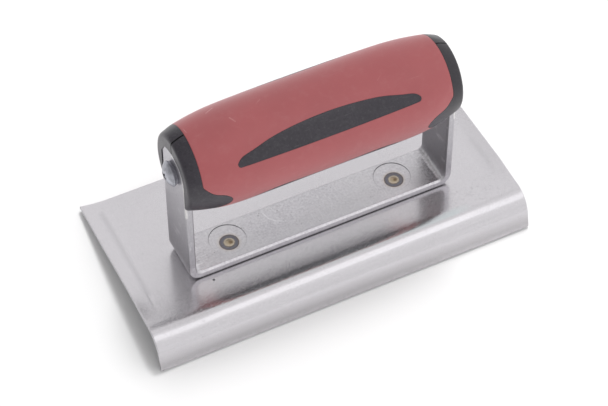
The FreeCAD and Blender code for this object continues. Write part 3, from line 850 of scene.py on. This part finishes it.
def screw_zinc(name):
    a = Mat(name)
    grain = a.noise(a.co, 1300, 4, 0.65)
    mott = a.noise(a.co, 480, 3, 0.6, 0.5)
    base = (0.42, 0.425, 0.465)
    col = a.mix(a.remap(mott, 0.35, 0.65, 0, 1), tuple(c * 0.70 for c in base), tuple(c * 1.12 for c in base))
    col = a.mix(a.remap(grain, 0.58, 0.72, 0, 0.5), col, (0.22, 0.22, 0.25))
    ro = a.remap(grain, 0.3, 0.7, 0.27, 0.42)
    h = a.math("ADD", mott, a.math("MULTIPLY", grain, 0.6))
    return a.out(Base_Color=col, Metallic=1.0, Roughness=ro, Normal=a.bump(h, 0.40, 0.00007))


def brass(name):
    a = Mat(name)
    turn = a.noise(a.mapping((4200, 60, 60)), 1.0, 3, 0.6)
    mott = a.noise(a.co, 300, 3, 0.5)
    col = a.mix(a.remap(mott, 0.3, 0.7, 0, 1), (0.66, 0.50, 0.24), (0.76, 0.60, 0.32))
    return a.out(Base_Color=col, Metallic=1.0, Roughness=a.remap(turn, 0.3, 0.7, 0.24, 0.40), Normal=a.bump(turn, 0.2, 0.00003))


def plastic(name):
    a = Mat(name)
    grain = a.noise(a.co, 3000, 3, 0.6)
    broad = a.noise(a.co, 70, 4, 0.6)
    mid = a.noise(a.co, 420, 3, 0.6)
    col = a.mix(a.remap(broad, 0.3, 0.7, 0, 1), (0.0275, 0.0230, 0.0320), (0.0400, 0.0345, 0.0455))
    col = a.mix(a.remap(mid, 0.52, 0.70, 0, 0.45), col, (0.060, 0.056, 0.064))
    fleck = a.noise(a.co, 1250, 2, 0.6)
    col = a.mix(a.remap(fleck, 0.58, 0.72, 0, 0.35), col, (0.085, 0.080, 0.090))
    col = a.mix(a.remap(fleck, 0.44, 0.30, 0, 0.45), col, (0.012, 0.011, 0.014))
    hair = a.noise(a.mapping((160, 2300, 1500), rot=(0.3, 0.2, 0.4)), 1.0, 2, 0.5)
    col = a.mix(a.remap(hair, 0.66, 0.78, 0, 0.40), col, (0.12, 0.115, 0.125))
    # dirt in the parting line
    sp = a.n("ShaderNodeSeparateXYZ")
    a.link(a.co, sp.inputs[0])
    off = a.math("ABSOLUTE", a.math("ADD", sp.outputs["Y"], 0.00485))
    col = a.mix(a.remap(off, 0.00052, 0.00026, 0, 0.92), col, (0.004, 0.004, 0.005))
    # painted shade: the right end of the core is painted darker
    col = a.mix(a.remap(sp.outputs["X"], 0.0440, 0.0490, 0, 0.55), col, (0.012, 0.010, 0.014))
    ro = a.math("ADD", a.remap(grain, 0.3, 0.7, 0.29, 0.40), a.remap(broad, 0.3, 0.7, -0.03, 0.05))
    h = a.math("ADD", a.math("MULTIPLY", grain, 0.5), a.math("MULTIPLY", mid, 0.35))
    return a.out(Base_Color=col, Roughness=ro, Normal=a.bump(h, 0.28, 0.00006))


def rubber(name):
    a = Mat(name)
    grain = a.noise(a.co, 2700, 3, 0.6)
    mid = a.noise(a.co, 300, 4, 0.6)
    broad = a.noise(a.co, 38, 4, 0.6)
    base = (0.430, 0.102, 0.109)
    col = a.mix(a.remap(broad, 0.3, 0.7, 0, 1), tuple(c * 0.94 for c in base), tuple(c * 1.05 for c in base))
    col = a.mix(a.remap(mid, 0.52, 0.72, 0, 0.22), col, (0.47, 0.165, 0.17))
    scuffs = None
    for p, q, r, k in (((-38.27, 0.6, 69.44), (-35.29, 2.1, 69.13), 0.42, 0.8), ((-36.2, 7.4, 66.2), (-32.6, 9.0, 65.0), 0.45, 1.0),
                       ((-32.5, -6.2, 70.7), (-31.4, -8.3, 70.4), 0.40, 0.7), ((-48.3, -1.9, 69.0), (-48.1, -4.4, 69.2), 0.22, 0.8),
                       ((-21.5, -4.5, 71.1), (-19.4, -3.2, 71.1), 0.28, 0.35), ((22.0, -12.0, 69.3), (24.5, -10.2, 69.9), 0.26, 0.3)):
        m_ = seg_mask(a, tuple(c * MM for c in p), tuple(c * MM for c in q), r * MM, 0.75)
        m_ = a.math("MULTIPLY", m_, k)
        scuffs = m_ if scuffs is None else a.math("MAXIMUM", scuffs, m_)
    scuffs = a.math("MULTIPLY", scuffs, a.remap(a.noise(a.co, 1500, 3, 0.6), 0.30, 0.55, 0.15, 1))
    col = a.mix(a.math("MULTIPLY", scuffs, 0.62), col, (0.70, 0.38, 0.38))
    hair = a.noise(a.mapping((90, 1900, 1500), rot=(0.1, 0.5, 0.35)), 1.0, 2, 0.5)
    col = a.mix(a.remap(hair, 0.70, 0.80, 0, 0.30), col, (0.60, 0.29, 0.29))
    ro = a.math("ADD", a.remap(grain, 0.3, 0.7, 0.39, 0.52), a.remap(broad, 0.3, 0.7, -0.03, 0.04))
    h = a.math("ADD", a.math("MULTIPLY", grain, 0.6), a.math("MULTIPLY", mid, 0.3))
    a.b.inputs["Sheen Tint"].default_value = (1.0, 0.93, 0.95, 1.0)
    return a.out(Base_Color=col, Roughness=ro, Sheen_Weight=0.29, Sheen_Roughness=0.42, Normal=a.bump(h, 0.30, 0.00007))


def put(obj, mat):
    obj.data.materials.clear()
    obj.data.materials.append(mat)


put(nodes["blade"], stainless("blade_steel_cad"))
put(blade_sheet, stainless("blade_steel"))
put(nodes["handle_bracket"], zinc("zinc_strip"))
for s, sx, w in (("left", -1, weld_l), ("right", 1, weld_r)):
    put(nodes["spot_weld_" + s], heat_tint("weld_metal_cad_" + s, sx))
    put(w, heat_tint("weld_metal_" + s, sx))
    put(nodes["screw_" + s], screw_zinc("screw_steel_" + s))
    put(nodes["insert_" + s], brass("insert_brass_" + s))
    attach(w, "root")
    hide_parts("spot_weld_" + s)
put(nodes["core_front"], plastic("core_plastic"))
put(nodes["core_rear"], plastic("core_plastic_rear"))
put(nodes["grip_cover"], rubber("grip_rubber_cad"))
put(grip_sleeve, rubber("grip_rubber"))
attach(blade_sheet, "root")
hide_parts("blade")
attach(grip_sleeve, "root")
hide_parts("grip_cover")

# ------------------------------------------------------------------- stage
lip_y, lip_z = -35.23 * MM, -13.14 * MM
slope = math.atan2(0.0 - lip_z, 36.5 * MM - lip_y)
fm = bpy.data.meshes.new("floor")
bm = bmesh.new()
bmesh.ops.create_grid(bm, x_segments=1, y_segments=1, size=3.0)
bm.to_mesh(fm)
bm.free()
floor = bpy.data.objects.new("floor", fm)
coll.objects.link(floor)
floor.matrix_world = Matrix.Translation((0, lip_y, lip_z - 0.00005)) @ Matrix.Rotation(slope, 4, "X")
fa = Mat("floor_paper")
fa.out(Base_Color=fa.mix(fa.noise(fa.co, 3.0, 2), (0.79, 0.79, 0.79), (0.81, 0.81, 0.81)), Roughness=0.9)
put(floor, fa.m)

world = bpy.data.worlds.new("studio")
scene.world = world
world.use_nodes = True
wt = world.node_tree
bg = wt.nodes["Background"]
tc = wt.nodes.new("ShaderNodeTexCoord")
sep = wt.nodes.new("ShaderNodeSeparateXYZ")
wt.links.new(tc.outputs["Generated"], sep.inputs[0])
mr = wt.nodes.new("ShaderNodeMapRange")
mr.inputs["From Min"].default_value = -1.0
mr.inputs["From Max"].default_value = 1.0
wt.links.new(sep.outputs["X"], mr.inputs["Value"])
rp = wt.nodes.new("ShaderNodeValToRGB")
stops = [(0.0, 0.50), (0.34, 0.54), (0.44, 0.78), (0.52, 0.965), (0.64, 1.0), (1.0, 1.0)]
for p_, v_ in stops:
    el_ = rp.color_ramp.elements[0] if p_ == 0.0 else rp.color_ramp.elements[-1] if p_ == 1.0 else rp.color_ramp.elements.new(p_)
    el_.color = (v_, v_ * 0.995, v_, 1.0)
wt.links.new(mr.outputs["Result"], rp.inputs[0])
wt.links.new(rp.outputs[0], bg.inputs[0])
bg.inputs[1].default_value = 1.0


def area(name, loc, target, size, power, size_y=None, color=(1, 1, 1)):
    l = bpy.data.lights.new(name, "AREA")
    l.energy = power
    l.size = size
    l.color = color
    if size_y:
        l.shape = "RECTANGLE"
        l.size_y = size_y
    o = bpy.data.objects.new(name, l)
    coll.objects.link(o)
    d = (Vector(target) - Vector(loc)).normalized()
    o.matrix_world = Matrix.Translation(loc) @ d.to_track_quat("-Z", "Y").to_matrix().to_4x4()
    return o


area("front_softbox", (0.44, -0.76, 1.21), (0, 0, 0), 1.3, 1.25, 0.55)
# light for the floor paper only, from above the rear right
key = area("floor_light", (0.32, 0.29, 1.20), (0, 0, 0), 0.34, 10.5)
only_floor = bpy.data.collections.new("floor_only")
only_floor.objects.link(floor)
key.light_linking.receiver_collection = only_floor
scene.view_settings.view_transform = "Standard"
